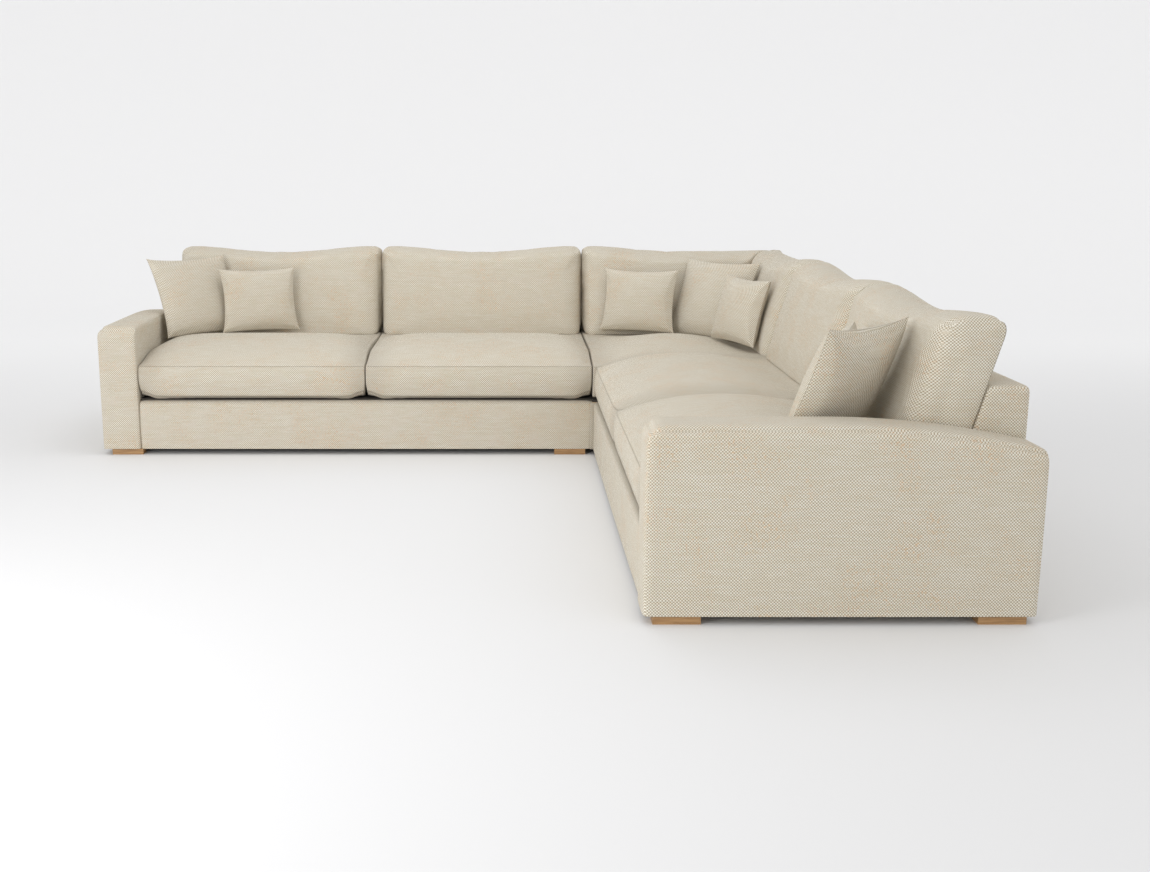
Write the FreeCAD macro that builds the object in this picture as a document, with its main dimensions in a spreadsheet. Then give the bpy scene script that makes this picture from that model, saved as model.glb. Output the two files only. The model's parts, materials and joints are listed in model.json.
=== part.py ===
import FreeCAD, Part
import math
import os
import re
import Sketcher

# Corner sofa in three upholstered units, with loose seat, back and scatter cushions.
# Millimetres, +Z up. The origin is on the floor under the middle of the sofa's square plan.
# The left wing runs along X at the back, the right wing along Y at the +X side, and the
# sofa is the same on both sides of the upright plane X = Y. The inner corner is where the
# fronts of the two wings meet. Depths are measured from the wing's front to its back.

Vector = FreeCAD.Vector

SIZES = {
    # plan
    "sofa_depth": 1100,
    "seat_pitch": 988,
    "arm_width": 166,
    # heights above the floor
    "foot_height": 26,
    "border_height": 238,
    "deck_height": 244,
    "back_height": 650,
    "arm_height": 565,
    "arm_rear_height": 497,
    # upholstered arm
    "arm_level_length": 500,
    "arm_nose_radius": 50,
    "arm_edge_radius": 22,
    "arm_box_height": 450,
    # upholstered back
    "back_top_thickness": 125,
    "back_lean": 16,
    "back_edge_radius": 20,
    "cover_wall": 12,
    # front border
    "border_thickness": 30,
    "border_setback": 6,
    "border_edge_radius": 14,
    # timber frames, webbing, deck and cloths
    "rail_thickness": 25,
    "rail_height": 60,
    "back_rail_height": 45,
    "deck_thickness": 7,
    "webbing_thickness": 2,
    "webbing_width": 50,
    "dust_cloth_thickness": 2,
    "end_panel_thickness": 12,
    # feet and their bolts
    "foot_length": 135,
    "foot_width": 50,
    "foot_inset": 28,
    "arm_foot_inset": 38,
    "foot_setback": 12,
    "foot_bolt_radius": 4,
    "foot_bolt_length": 50,
    # connectors between the units
    "link_width": 44,
    "link_length": 60,
    "link_plate": 3,
    "link_play": 0.5,
    "link_end_distance": 200,
    "link_screw_radius": 2.5,
    "link_screw_length": 22,
    # loose cushions
    "cushion_gap": 4,
    "soft_clearance": 0.3,
    "seat_seam_height": 391,
    "seat_side_height": 430,
    "seat_crown_height": 485,
    "seat_crown_depth": 380,
    "seat_rest_depth": 695,
    "seat_front_bulge": 8,
    "seat_corner_round": 30,
    "side_draw": 5,
    "back_cushion_height": 847,
    "back_cushion_dip": 25,
    "back_cushion_thickness": 180,
    "back_cushion_bulge": 26,
    "back_cushion_gap": 12,
    "back_cushion_round": 26,
    # scatter cushions
    "large_width": 430,
    "large_length": 390,
    "large_thickness": 130,
    "small_width": 370,
    "small_length": 305,
    "small_thickness": 115,
    "pillow_side_draw": 14,
    "pillow_edge": 9,
    "large_lean": 23,
    "small_lean": 15,
    "large_turn": 46,
    "end_small_turn": 20,
    "corner_small_turn": 21,
    # where the scatter cushions stand: along from the wing's end or the inner corner, and in depth
    "end_large_along": 190,
    "end_small_along": 437,
    "corner_small_along": 250,
    "large_depth": 552,
    "end_small_depth": 610,
    "corner_small_depth": 640,
}

# Places that follow from the sizes
PLACES = {
    "half_span": "(sofa_depth + 2 * seat_pitch + arm_width) / 2",
    "inner": "half_span - sofa_depth",
    "wing_end": "inner - 2 * seat_pitch",
    "frame_bottom": "foot_height + dust_cloth_thickness",
    "frame_top": "deck_height - deck_thickness - webbing_thickness",
    "frame_front": "inner + border_setback + border_thickness",
    "frame_rear": "half_span - cover_wall",
    "back_front_top": "half_span - back_top_thickness",
    "back_front_low": "back_front_top - (back_height - frame_top) * tan(back_lean * 1deg)",
    "deck_rear": "back_front_top - (back_height - deck_height) * tan(back_lean * 1deg)",
}

doc = FreeCAD.newDocument("corner_sofa")
sheet = doc.addObject("Spreadsheet::Sheet", "sz")
for row, (name, value) in enumerate({**SIZES, **PLACES}.items(), start=1):
    text = str(value) if name in SIZES else "=" + value
    sheet.set(f"A{row}", name)
    sheet.set(f"B{row}", text)
    sheet.setAlias(f"B{row}", name)
doc.recompute()

subparts = []


def size(name):
    """The value of a cell as a plain number."""
    return float(sheet.get(name))


def bound(text):
    """An expression over the sheet's cells, as a document object's expression."""
    names = {**SIZES, **PLACES}
    return re.sub(r"[a-z_]\w*", lambda m: "sz." + m.group() if m.group() in names else m.group(), text)


def worth(text):
    """The number that an expression over the sheet's cells has now."""
    return float(sheet.evalExpression(bound(text)))


def keep(piece, label):
    """Make a document object a sub-part under its label."""
    piece.Label = label
    subparts.append(piece)
    return piece


def block(x, y, z):
    """A box between two expressions along each axis."""
    solid = doc.addObject("Part::Box", "Block")
    for prop, (low, high) in zip(("Length", "Width", "Height"), (x, y, z)):
        solid.setExpression(prop, bound(f"({high}) - ({low})"))
    for axis, (low, high) in zip("xyz", (x, y, z)):
        solid.setExpression(f".Placement.Base.{axis}", bound(low))
    return solid


def stud(x, y, z, length, radius):
    """An upright six-sided bolt from a foot point given by expressions."""
    solid = doc.addObject("Part::Prism", "Stud")
    solid.Polygon = 6
    solid.setExpression("Circumradius", bound(radius))
    solid.setExpression("Height", bound(length))
    for axis, place in zip("xyz", (x, y, z)):
        solid.setExpression(f".Placement.Base.{axis}", bound(place))
    return solid


def joined(pieces, label=None):
    """One glued solid."""
    fuse = doc.addObject("Part::MultiFuse", "Joined")
    fuse.Shapes = pieces
    fuse.Refine = True
    return keep(fuse, label) if label else fuse


def grouped(pieces, label):
    """Separate like solids in one node."""
    group = doc.addObject("Part::Compound", "Grouped")
    group.Links = pieces
    return keep(group, label)


def mirrored(piece, label=None):
    """The same piece on the other side of the plane X = Y."""
    mirror = doc.addObject("Part::Mirroring", "Mirrored")
    mirror.Source = piece
    mirror.Normal = Vector(1, -1, 0)
    return keep(mirror, label) if label else mirror


def start_body(label, x="0"):
    """An empty body that starts at an expression along X."""
    body = doc.addObject("PartDesign::Body", "Body")
    body.setExpression(".Placement.Base.x", bound(x))
    return keep(body, label)


def outline(body, plane, points, arcs=(), offset="0"):
    """A closed sketch through points given by expressions, on an origin plane of its body.

    An arc replaces the edge that starts at its point number, about a centre expression
    along the sketch's first axis.
    """
    sketch = body.newObject("Sketcher::SketchObject", "Outline")
    role = plane + "_Plane"
    base = [part for part in body.Origin.OriginFeatures if part.Role == role][0]
    sketch.AttachmentSupport = [(base, "")]
    sketch.MapMode = "FlatFace"
    sketch.setExpression(".AttachmentOffset.Base.z", bound(offset))
    corners = [Vector(worth(first), worth(second), 0) for first, second in points]
    centres = dict(arcs)
    for number, corner in enumerate(corners):
        after = corners[(number + 1) % len(corners)]
        if number in centres:
            x = worth(centres[number])
            drop = (after.x - x) ** 2 + after.y ** 2 - (corner.x - x) ** 2 - corner.y ** 2
            y = drop / (2 * (after.y - corner.y))
            centre = Vector(x, y, 0)
            radius = (corner - centre).Length
            circle = Part.Circle(centre, Vector(0, 0, 1), radius)
            low = math.atan2(after.y - y, after.x - x)
            high = math.atan2(corner.y - y, corner.x - x)
            sketch.addGeometry(Part.ArcOfCircle(circle, low, high), False)
        else:
            sketch.addGeometry(Part.LineSegment(corner, after), False)
    count = len(corners)
    for number in range(count):
        before = (number - 1) % count
        first = 2 if number in centres else 1
        last = 1 if before in centres else 2
        sketch.addConstraint(Sketcher.Constraint("Coincident", before, last, number, first))
        for kind, part, text in zip(("DistanceX", "DistanceY"), (corners[number].x, corners[number].y),
                                    points[number]):
            index = sketch.addConstraint(Sketcher.Constraint(kind, -1, 1, number, first, part))
            sketch.setExpression(f"Constraints[{index}]", bound(text))
    for number, text in centres.items():
        rule = Sketcher.Constraint("DistanceX", -1, 1, number, 3, worth(text))
        index = sketch.addConstraint(rule)
        sketch.setExpression(f"Constraints[{index}]", bound(text))
    return sketch


def pad(body, sketch, length):
    """Raise a sketch along its normal."""
    feature = body.newObject("PartDesign::Pad", "Pad")
    feature.Profile = sketch
    feature.setExpression("Length", bound(length))
    doc.recompute()
    return feature


def pocket(body, sketch, length=None):
    """Cut a sketch along its normal, through all where no length is given."""
    before = body.Shape.Volume
    feature = body.newObject("PartDesign::Pocket", "Pocket")
    feature.Profile = sketch
    feature.Reversed = True
    if length:
        feature.setExpression("Length", bound(length))
    else:
        feature.Type = 1
    doc.recompute()
    if not body.Shape.Volume < before:
        raise RuntimeError(f"{body.Label}: the pocket cuts nothing")
    return feature


def rounded(body, radius, chosen):
    """Round the edges of a body that the test picks by their middle point."""
    base = body.Tip
    names = []
    for number, edge in enumerate(base.Shape.Edges, start=1):
        middle = edge.valueAt((edge.FirstParameter + edge.LastParameter) / 2)
        if chosen(edge, middle):
            names.append(f"Edge{number}")
    feature = body.newObject("PartDesign::Fillet", "Rounded")
    feature.Base = (base, names)
    feature.setExpression("Radius", bound(radius))
    doc.recompute()
    return feature


def repeated(body, feature, length, count):
    """Repeat a feature along its sketch's normal, over a length."""
    pattern = body.newObject("PartDesign::LinearPattern", "Repeated")
    pattern.Originals = [feature]
    pattern.Direction = (feature.Profile[0], ["N_Axis"])
    pattern.setExpression("Length", bound(length))
    pattern.Occurrences = count
    body.Tip = pattern
    doc.recompute()
    return pattern


def arm_cover():
    """Padded arm case: level top that falls in a long arc to the back, hollow from below."""
    body = start_body("left_arm_cover", "-half_span")
    fall = "(arm_height - arm_rear_height)"
    points = [
        ("inner", "foot_height"),
        ("inner", "arm_height"),
        ("inner + arm_level_length", "arm_height"),
        ("half_span", "arm_rear_height"),
        ("half_span", "foot_height"),
    ]
    profile = outline(body, "YZ", points, arcs=[(2, "inner + arm_level_length")])
    pad(body, profile, "arm_width")
    nose = size("arm_height")
    rounded(body, "arm_nose_radius",
            lambda edge, at: abs(at.z - nose) < 1 and abs(at.y - size("inner")) < 1)
    floor = size("foot_height") + 1
    rounded(body, "arm_edge_radius", lambda edge, at: at.z > floor)
    cavity = [
        ("cover_wall", "inner + cover_wall"),
        ("arm_width - cover_wall", "inner + cover_wall"),
        ("arm_width - cover_wall", "half_span - cover_wall"),
        ("cover_wall", "half_span - cover_wall"),
    ]
    hollow = outline(body, "XY", cavity, offset="foot_height")
    pocket(body, hollow, "arm_box_height - foot_height")
    return body


def arm_frame():
    """Timber box inside the arm: floor and top boards on three posts."""
    x = ("-half_span + cover_wall", "wing_end - cover_wall")
    y = ("inner + cover_wall", "half_span - cover_wall")
    low = block(x, y, ("foot_height", "foot_height + rail_thickness"))
    top = block(x, y, ("arm_box_height - rail_thickness", "arm_box_height"))
    starts = ("inner + cover_wall", "inner + (sofa_depth - rail_thickness) / 2",
              "half_span - cover_wall - rail_thickness")
    posts = [block(x, (start, f"{start} + rail_thickness"), ("foot_height", "arm_box_height"))
             for start in starts]
    return joined([low, top, *posts], "left_arm_frame")


def back_outline(body, inset="0"):
    """Side view of the back: a leaning front over the seat and a skin down to the floor gap."""
    points = [
        ("half_span", "foot_height"),
        ("half_span", "back_height"),
        ("back_front_top", "back_height"),
        ("back_front_low", "frame_top"),
        ("frame_rear", "frame_top"),
        ("frame_rear", "foot_height"),
    ]
    return outline(body, "YZ", points, offset=inset)


def back_hollow(body, low, high, inset):
    """Side view of the space inside the back between two heights."""
    slope = "tan(back_lean * 1deg)"
    face = "back_front_top + cover_wall"
    points = [
        ("frame_rear", low),
        ("frame_rear", high),
        (f"{face} - (back_height - ({high})) * {slope}", high),
        (f"{face} - (back_height - ({low})) * {slope}", low),
    ]
    return outline(body, "YZ", points, offset=inset)


def mitre(body):
    """Cut the corner unit's piece at the plane X = Y, in coordinates that start at the inner corner."""
    near = "sofa_depth / 2"
    far = "sofa_depth * 1.1"
    points = [
        (near, f"inner + {near}"),
        (far, f"inner + {near}"),
        (far, f"inner + {far}"),
    ]
    pocket(body, outline(body, "XY", points))


def back_cover(label, start, length):
    """Padded back case, hollow from below."""
    body = start_body(label, start)
    pad(body, back_outline(body), length)
    rounded(body, "back_edge_radius", lambda edge, at: abs(at.z - size("back_height")) < 1
            and abs(edge.tangentAt(edge.FirstParameter).x) > 0.9)
    hollow = back_hollow(body, "frame_top - cover_wall", "back_height - cover_wall", "cover_wall")
    pocket(body, hollow, f"{length} - 2 * cover_wall")
    return body


def back_frame(label, start, length, posts):
    """Timber back: leaning posts between a top and a bottom rail."""
    body = start_body(label, start)
    reach = f"({length} - 2 * cover_wall)"
    post = pad(body, back_hollow(body, "frame_top", "back_height - cover_wall", "cover_wall"),
               "rail_thickness")
    repeated(body, post, f"{reach} - rail_thickness", posts)
    pad(body, back_hollow(body, "frame_top", "frame_top + back_rail_height", "cover_wall"), reach)
    pad(body, back_hollow(body, "back_height - cover_wall - back_rail_height",
                          "back_height - cover_wall", "cover_wall"), reach)
    return body


def base_frame(label, x, y, stretchers):
    """Timber base: four rails, stretchers across the seats and a rail under the back's front."""
    (left, right), (front, rear) = x, y
    full = ("frame_bottom", "frame_top")
    upper = ("frame_top - rail_height", "frame_top")
    pieces = [
        block((left, right), (front, f"{front} + rail_thickness"), full),
        block((left, right), (f"{rear} - rail_thickness", rear), full),
        block((left, f"{left} + rail_thickness"), (front, rear), full),
        block((f"{right} - rail_thickness", right), (front, rear), full),
        block((left, right), ("back_front_low", "back_front_low + rail_thickness"), upper),
    ]
    for middle in stretchers:
        across = (f"{middle} - rail_thickness / 2", f"{middle} + rail_thickness / 2")
        pieces.append(block(across, (front, rear), upper))
    return joined(pieces, label)


def webbing(label, x, y, across, along):
    """Elastic straps, laid both ways over the base frame."""
    (left, right), (front, rear) = x, y
    lower = ("frame_top", "frame_top + webbing_thickness / 2")
    upper = ("frame_top + webbing_thickness / 2", "frame_top + webbing_thickness")
    straps = []
    for number in range(across):
        middle = f"{left} + ({right} - ({left})) * {number + 0.5} / {across}"
        straps.append(block((f"{middle} - webbing_width / 2", f"{middle} + webbing_width / 2"),
                            (front, rear), lower))
    for number in range(along):
        middle = f"{front} + ({rear} - ({front})) * {number + 0.5} / {along}"
        straps.append(block((left, right), (f"{middle} - webbing_width / 2",
                                            f"{middle} + webbing_width / 2"), upper))
    return grouped(straps, label)


def seat_deck(label, x, y):
    """Padded platform that the seat cushions lie on."""
    return keep(block(x, y, ("deck_height - deck_thickness", "deck_height")), label)


def dust_cloth(label, x, y):
    """Black cloth stapled under the base."""
    return keep(block(x, y, ("foot_height", "frame_bottom")), label)


def front_border():
    """Upholstered band along the front of the wing, round at its top and at its inner end."""
    body = start_body("left_front_border", "wing_end")
    front = "inner + border_setback"
    points = [
        (front, "foot_height"),
        (front, "border_height"),
        (f"{front} + border_thickness", "border_height"),
        (f"{front} + border_thickness", "foot_height"),
    ]
    pad(body, outline(body, "YZ", points), "2 * seat_pitch")
    top = size("border_height")
    face = size("inner") + size("border_setback")
    reach = 2 * size("seat_pitch")

    def shown(edge, at):
        upper = abs(at.z - top) < 1 and abs(at.y - face) < 1
        inner_end = abs(at.x - size("wing_end") - reach) < 1 and abs(at.y - face) < 1
        return upper or inner_end

    rounded(body, "border_edge_radius", shown)
    return body


def end_panel():
    """Covered board on the wing's inner end, which meets the corner unit."""
    x = ("inner - end_panel_thickness", "inner")
    return keep(block(x, ("frame_front", "frame_rear"), ("foot_height", "frame_top")),
                "left_end_panel")


def feet(name, places):
    """Oak blocks with their long side along X, and a bolt up from each into the rail above it."""
    blocks = []
    bolts = []
    for x, y, rail in places:
        blocks.append(block((x, f"{x} + foot_length"), (y, f"{y} + foot_width"), ("0", "foot_height")))
        bolts.append(stud(f"{x} + foot_length / 2", rail, "foot_height / 2", "foot_bolt_length",
                          "foot_bolt_radius"))
    grouped(blocks, name + "_feet")
    grouped(bolts, name + "_foot_bolts")


def connectors():
    """Tongues under each wing's inner end that slide into sockets under the corner unit."""
    tongues = []
    sockets = []
    screws = []
    level = "foot_height"
    plate = (f"{level} - link_plate", level)
    slot = "(link_plate + 2 * link_play)"
    tongue_top = f"{level} - link_plate - link_play"
    for start in ("inner + link_end_distance", "half_span - link_end_distance - link_width"):
        y = (start, f"{start} + link_width")
        middle = f"{start} + link_width / 2"
        tongue_level = (f"{tongue_top} - link_plate", tongue_top)
        tongues.append(joined([
            block(("inner - link_length", "inner - link_plate"), y, plate),
            block(("inner - link_length", "inner - link_plate"), y, tongue_level),
            block(("inner - link_length", "inner - link_length / 2"), y, (tongue_top, plate[0])),
            block(("inner - link_plate", "inner + link_length / 2"),
                  (f"{start} + link_plate + link_play", f"{start} + link_width - link_plate - link_play"),
                  tongue_level),
        ]))
        low = f"{level} - 2 * link_plate - {slot}"
        x = ("inner + link_plate", "inner + link_length")
        sockets.append(joined([
            block(x, y, plate),
            block(x, y, (low, f"{low} + link_plate")),
            block(x, (start, f"{start} + link_plate"), (low, level)),
            block(x, (f"{start} + link_width - link_plate", f"{start} + link_width"), (low, level)),
        ]))
        for place in ("inner - end_panel_thickness - rail_thickness / 2", "inner + rail_thickness / 2"):
            screws.append(stud(place, middle, plate[0], "link_screw_length", "link_screw_radius"))
    grouped(tongues, "left_link_tongues")
    grouped(sockets, "left_link_sockets")
    grouped([mirrored(piece) for piece in tongues], "right_link_tongues")
    grouped([mirrored(piece) for piece in sockets], "right_link_sockets")
    grouped(screws + [mirrored(piece) for piece in screws], "link_screws")


def form(shape):
    """A free-form solid as a document object."""
    feature = doc.addObject("Part::Feature", "Form")
    feature.Shape = shape
    return feature


def prism(along, start, *legs):
    """A closed outline, extruded. Each leg holds its end point, after a point on its way if it is an arc."""
    edges = []
    here = start
    for *way, end in legs:
        curve = Part.Arc(here, *way, end).toShape() if way else Part.makeLine(here, end)
        edges.append(curve)
        here = end
    return Part.Face(Part.Wire(edges)).extrude(along)


def crossed(first, *others):
    """The space that is inside every one of several prisms."""
    for other in others:
        first = first.common(other)
    return first


def corner_arc(centre, radius, right, up):
    """The middle of a rounded corner in a front view, towards a side and up or down."""
    share = radius * math.sqrt(0.5)
    return centre + Vector(right * share, 0, up * share)


def seat_section(seam, swell, flip=False):
    """Side view of a seat cushion: front, crown, fall to the level rear. Flipped, it runs along X."""
    start = size("inner") + size("cushion_gap") / 2
    low = size("deck_height") + size("soft_clearance")
    side = size("seat_side_height")
    crown = size("seat_crown_height")
    crown_at = size("inner") + size("seat_crown_depth")
    rest_at = size("inner") + size("seat_rest_depth")
    rear = size("deck_rear") - size("cushion_gap") / 2
    front = start + max(swell, 0)
    points = [
        (front, low),
        (front - swell, (low + seam) / 2),
        (front, seam),
        ((front + crown_at) / 2, seam + 0.72 * (crown - seam)),
        (crown_at, crown),
        ((crown_at + rest_at) / 2, side + 0.68 * (crown - side)),
        (rest_at, side),
        (rear, side),
        (rear, low),
    ]
    toe, belly, lip, over, top, down, dent, heel, tail = [
        Vector(depth, 0, z) if flip else Vector(0, depth, z) for depth, z in points]
    return toe, (belly, lip), (over, top), (down, dent), (heel,), (tail,), (toe,)


def seat_cushion(label, start, width):
    """Seat cushion: crowned towards its middle, level where the back cushion stands on it."""
    gap = size("cushion_gap") / 2
    first = start + gap
    last = start + width - gap
    middle = (first + last) / 2
    low = size("deck_height") + size("soft_clearance")
    side = size("seat_side_height")
    turn = size("seat_corner_round")
    draw = size("side_draw")
    front = size("inner")
    rear = size("deck_rear")

    side_view = prism(Vector(width, 0, 0), *seat_section(size("seat_seam_height"), size("seat_front_bulge")))
    side_view.translate(Vector(start, 0, 0))

    near = Vector(first + turn, 0, low + turn)
    far = Vector(last - turn, 0, low + turn)
    front_view = prism(
        Vector(0, 2 * size("sofa_depth"), 0),
        Vector(first + turn, 0, low),
        (Vector(last - turn, 0, low),),
        (corner_arc(far, turn, 1, -1), Vector(last, 0, low + turn)),
        (Vector(last, 0, side),),
        (Vector(middle, 0, size("seat_crown_height") + draw), Vector(first, 0, side)),
        (Vector(first, 0, low + turn),),
        (corner_arc(near, turn, -1, -1), Vector(first + turn, 0, low)),
    )
    plan = prism(
        Vector(0, 0, 2 * side),
        Vector(first, front, 0),
        (Vector(last, front, 0),),
        (Vector(last - draw, (front + rear) / 2, 0), Vector(last, rear, 0)),
        (Vector(first, rear, 0),),
        (Vector(first + draw, (front + rear) / 2, 0), Vector(first, front, 0)),
    )
    return keep(form(crossed(side_view, front_view, plan)), label)


def corner_seat():
    """Seat cushion of the corner unit, level along both walls where the back cushions stand."""
    seam = (size("seat_seam_height") + size("seat_side_height")) / 2
    draw = -size("side_draw")
    reach = 2 * size("sofa_depth")
    one = prism(Vector(reach, 0, 0), *seat_section(seam, draw))
    two = prism(Vector(0, reach, 0), *seat_section(seam, draw, flip=True))
    return keep(form(crossed(one, two)), "corner_seat_cushion")


def back_cushion(start, end, mitred=False):
    """Back cushion that stands on the seat cushion and leans on the back."""
    gap = size("back_cushion_gap") / 2
    first = start + gap
    last = end if mitred else end - gap
    middle = (first + last) / 2
    angle = math.radians(size("back_lean"))
    low = size("seat_side_height") + size("soft_clearance")
    top = size("back_cushion_height")
    turn = size("back_cushion_round")
    thickness = size("back_cushion_thickness")
    bulge = size("back_cushion_bulge")
    draw = size("side_draw")
    rise = size("back_height") - low
    rear = size("back_front_top") - rise * math.tan(angle) - size("soft_clearance") / math.cos(angle)
    lean = Vector(0, math.sin(angle), math.cos(angle))
    height = (top - low) / math.cos(angle)

    heel = Vector(0, rear, low)
    sole = heel - Vector(0, thickness, 0)
    nape = heel + lean * (height - 2.2 * turn)
    brow = sole + lean * (height - 2.4 * turn) + Vector(0, turn / 2, 0)
    crest = Vector(0, (nape.y + brow.y) / 2 + turn / 6, top)
    belly = (sole + brow) * 0.5 - Vector(0, bulge, 0)
    side_view = prism(Vector(end - start, 0, 0), heel, (sole,), (belly, brow), (crest, nape), (heel,))
    side_view.translate(Vector(start, 0, 0))

    eaves = top - 2 * turn
    front_view = prism(
        Vector(0, 2 * size("half_span"), 0),
        Vector(first + turn, 0, low),
        (Vector(last - turn, 0, low),),
        (corner_arc(Vector(last - turn, 0, low + turn), turn, 1, -1), Vector(last, 0, low + turn)),
        (Vector(last - draw, 0, (low + eaves) / 2), Vector(last, 0, eaves)),
        (corner_arc(Vector(last - 2 * turn, 0, eaves), 2 * turn, 1, 1), Vector(last - 2 * turn, 0, top)),
        (Vector(middle, 0, top - size("back_cushion_dip")), Vector(first + 2 * turn, 0, top)),
        (corner_arc(Vector(first + 2 * turn, 0, eaves), 2 * turn, -1, 1), Vector(first, 0, eaves)),
        (Vector(first + draw, 0, (low + eaves) / 2), Vector(first, 0, low + turn)),
        (corner_arc(Vector(first + turn, 0, low + turn), turn, -1, -1), Vector(first + turn, 0, low)),
    )
    plan = prism(
        lean * (2 * height),
        Vector(start, rear + turn, low),
        (Vector(start, rear - thickness, low),),
        (Vector(middle, rear - thickness - bulge, low), Vector(end, rear - thickness, low)),
        (Vector(end, rear + turn, low),),
        (Vector(start, rear + turn, low),),
    )
    return form(crossed(side_view, front_view, plan))


def corner_back():
    """Back cushion of the corner unit, cut to a mitre where it meets its mirror image."""
    inner = size("inner")
    depth = size("sofa_depth")
    whole = back_cushion(inner, inner + depth, mitred=True)
    gap = size("back_cushion_gap") / 2
    near = Vector(inner - gap, inner, 0)
    far = near + Vector(2 * depth, 2 * depth, 0)
    behind = near + Vector(0, 2 * depth, 0)
    wedge = prism(Vector(0, 0, 2 * depth), near, (far,), (behind,), (near,))
    whole.Shape = crossed(whole.Shape, wedge)
    return keep(whole, "corner_back_cushion_left")


def pillow(width, length, thickness):
    """Scatter cushion on its lower corners: crowned faces, sides drawn in between pointed corners."""
    edge = size("pillow_edge") / 2
    draw = size("pillow_side_draw")
    half = width / 2
    side_view = prism(
        Vector(width, 0, 0),
        Vector(-half, -edge, 0),
        (Vector(-half, -thickness / 2, length / 2), Vector(-half, -edge, length)),
        (Vector(-half, edge, length),),
        (Vector(-half, thickness / 2, length / 2), Vector(-half, edge, 0)),
        (Vector(-half, -edge, 0),),
    )
    plan = prism(
        Vector(0, 0, length),
        Vector(-half, -edge, 0),
        (Vector(0, -thickness / 2, 0), Vector(half, -edge, 0)),
        (Vector(half, edge, 0),),
        (Vector(0, thickness / 2, 0), Vector(-half, edge, 0)),
        (Vector(-half, -edge, 0),),
    )
    front = -thickness
    front_view = prism(
        Vector(0, 2 * thickness, 0),
        Vector(-half, front, 0),
        (Vector(0, front, draw), Vector(half, front, 0)),
        (Vector(half - draw, front, length / 2), Vector(half, front, length)),
        (Vector(0, front, length - draw), Vector(-half, front, length)),
        (Vector(draw - half, front, length / 2), Vector(-half, front, 0)),
    )
    return crossed(side_view, plan, front_view)


def scatter(label, kind, support, x, deep, turn):
    """A scatter cushion, turned in plan and leaning back, lowered until it meets a seat cushion."""
    piece = form(pillow(size(kind + "_width"), size(kind + "_length"), size(kind + "_thickness")))
    turned = FreeCAD.Rotation(Vector(0, 0, 1), turn)
    leaned = FreeCAD.Rotation(Vector(1, 0, 0), -size(kind + "_lean"))
    place = Vector(x, size("inner") + deep, size("back_height"))
    piece.Placement = FreeCAD.Placement(place, turned.multiply(leaned))
    clearance = size("soft_clearance")
    drop = piece.Shape.distToShape(support.Shape)[0] - clearance
    while drop > clearance / 10:
        place.z -= drop
        piece.Placement.Base = place
        drop = piece.Shape.distToShape(support.Shape)[0] - clearance
    print(label, "stands at", round(place.z, 2))
    return keep(piece, label)


def wing():
    """The left unit and its mirror image, the right unit."""
    length = "2 * seat_pitch"
    x = ("wing_end", "inner - end_panel_thickness")
    y = ("frame_front", "frame_rear")
    pieces = [
        arm_cover(),
        arm_frame(),
        base_frame("left_base_frame", x, y, ["inner - seat_pitch"]),
        front_border(),
        back_cover("left_back_cover", "wing_end", length),
        back_frame("left_back_frame", "wing_end", length, 4),
        webbing("left_seat_webbing", x, ("frame_front", "back_front_low"), 14, 6),
        seat_deck("left_seat_deck", ("wing_end", "inner"), ("frame_front", "back_front_low")),
        dust_cloth("left_dust_cloth", x, y),
        end_panel(),
    ]
    for piece in pieces:
        mirrored(piece, piece.Label.replace("left", "right"))
    rear = "half_span - foot_setback - foot_width"
    front = "inner + foot_setback"
    outer = "-half_span + arm_foot_inset"
    inside = "inner - foot_inset - foot_length"
    front_rail = "frame_front + rail_thickness / 2"
    rear_rail = "frame_rear - rail_thickness / 2"
    feet("left", [(outer, front, front_rail), (inside, front, front_rail),
                  (outer, rear, rear_rail), (inside, rear, rear_rail)])
    near = "inner + foot_inset"
    far = "half_span - foot_inset - foot_length"
    low = "-half_span + foot_setback"
    high = "inner - end_panel_thickness - foot_width"
    arm_board = f"{low} + foot_width / 2"
    end_rail = "inner - end_panel_thickness - rail_thickness / 2"
    feet("right", [(near, low, arm_board), (far, low, arm_board),
                   (near, high, end_rail), (far, high, end_rail)])


def corner_unit():
    """The square unit that joins the wings, its backs mitred along the diagonal."""
    x = ("inner", "frame_rear")
    base_frame("corner_base_frame", x, x, ["(inner + back_front_low) / 2"])
    cover = back_cover("corner_back_cover_left", "inner", "sofa_depth")
    mitre(cover)
    mirrored(cover, "corner_back_cover_right")
    frame = back_frame("corner_back_frame_left", "inner", "sofa_depth", 3)
    mitre(frame)
    mirrored(frame, "corner_back_frame_right")
    seat = ("inner", "back_front_low")
    webbing("corner_seat_webbing", seat, seat, 6, 6)
    seat_deck("corner_seat_deck", seat, seat)
    dust_cloth("corner_dust_cloth", x, x)
    near = "inner + foot_inset"
    far = "half_span - foot_inset - foot_length"
    front = "inner + foot_setback"
    rear = "half_span - foot_setback - foot_width"
    front_rail = "inner + (foot_setback + rail_thickness) / 2"
    rear_rail = "frame_rear - rail_thickness / 2"
    feet("corner", [(near, front, front_rail), (far, front, front_rail),
                    (near, rear, rear_rail), (far, rear, rear_rail)])


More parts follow.
